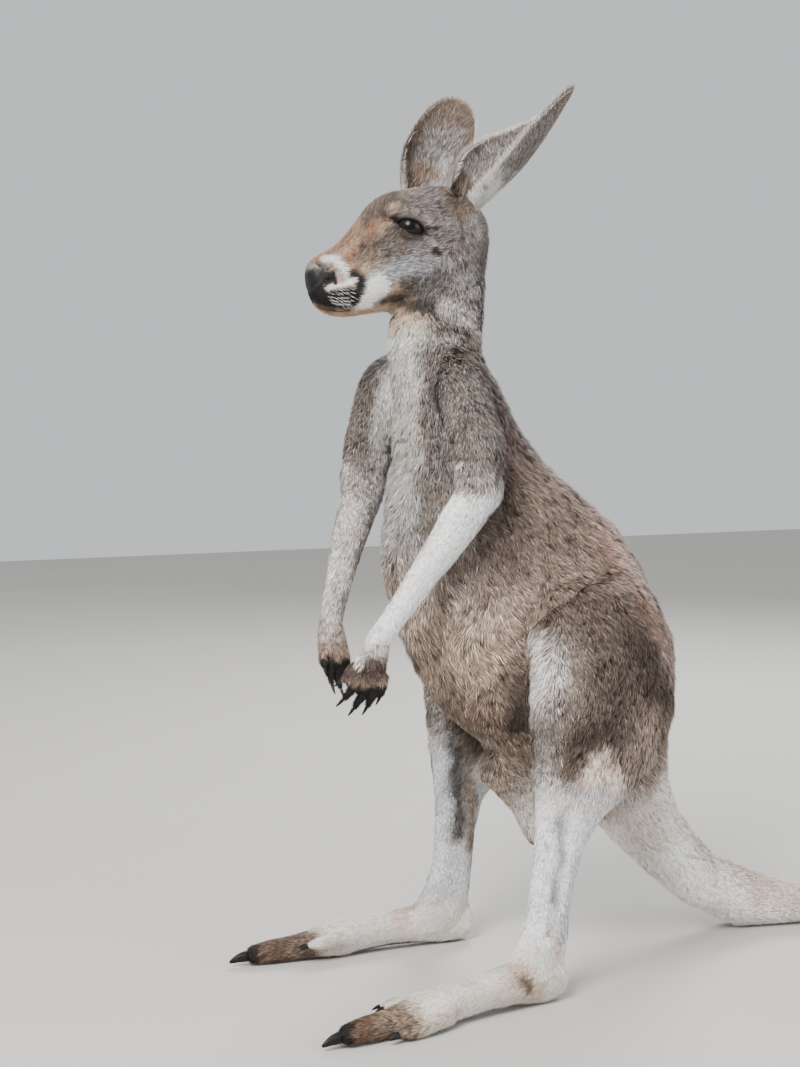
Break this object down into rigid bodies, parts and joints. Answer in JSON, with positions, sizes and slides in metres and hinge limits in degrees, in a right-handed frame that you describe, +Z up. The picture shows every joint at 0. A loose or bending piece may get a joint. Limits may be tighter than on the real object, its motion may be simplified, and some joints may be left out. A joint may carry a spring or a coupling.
{
  "type": "life-size kangaroo model",
  "caption": "Still life-size kangaroo resting upright on its long hind feet and tail, arms hanging in front of its chest, grey-brown coat with pale belly and legs.",
  "frame": {"origin": "middle of the underside of the box round the whole animal, on the floor under its hind feet and tail", "axes": "+X to the animal's left, +Y towards its tail so that it faces -Y, +Z up"},
  "size_m": [0.3568, 1.2122, 1.0162],
  "materials": {
    "coat": "matt, grizzled grey-brown fur",
    "pale_coat": "matt, off-white fur",
    "nose": "dark bare skin, slightly moist",
    "eye": "dark brown, wet gloss",
    "claw": "black horn, satin"
  },
  "bodies": {
    "root": {"left_ear": "coat", "right_ear": "coat", "nose_pad": "nose", "left_eye": "eye", "right_eye": "eye", "head": "coat", "neck": "coat", "trunk": "coat", "tail_base": "coat", "tail_middle": "pale_coat", "tail_end": "coat", "left_foot_claw_big": "claw", "left_foot_claw_outer": "claw", "left_foot_claw_inner_near": "claw", "left_foot_claw_inner_far": "claw", "left_thigh": "coat", "left_shin": "pale_coat", "left_foot": "pale_coat", "left_hand_claw_1": "claw", "left_hand_claw_2": "claw", "left_hand_claw_3": "claw", "left_hand_claw_4": "claw", "left_hand_claw_5": "claw", "left_upper_arm": "coat", "left_forearm": "pale_coat", "left_hand": "coat", "right_foot_claw_big": "claw", "right_foot_claw_outer": "claw", "right_foot_claw_inner_near": "claw", "right_foot_claw_inner_far": "claw", "right_thigh": "coat", "right_shin": "pale_coat", "right_foot": "pale_coat", "right_hand_claw_1": "claw", "right_hand_claw_2": "claw", "right_hand_claw_3": "claw", "right_hand_claw_4": "claw", "right_hand_claw_5": "claw", "right_upper_arm": "coat", "right_forearm": "pale_coat", "right_hand": "coat"}
  },
  "joints": []
}
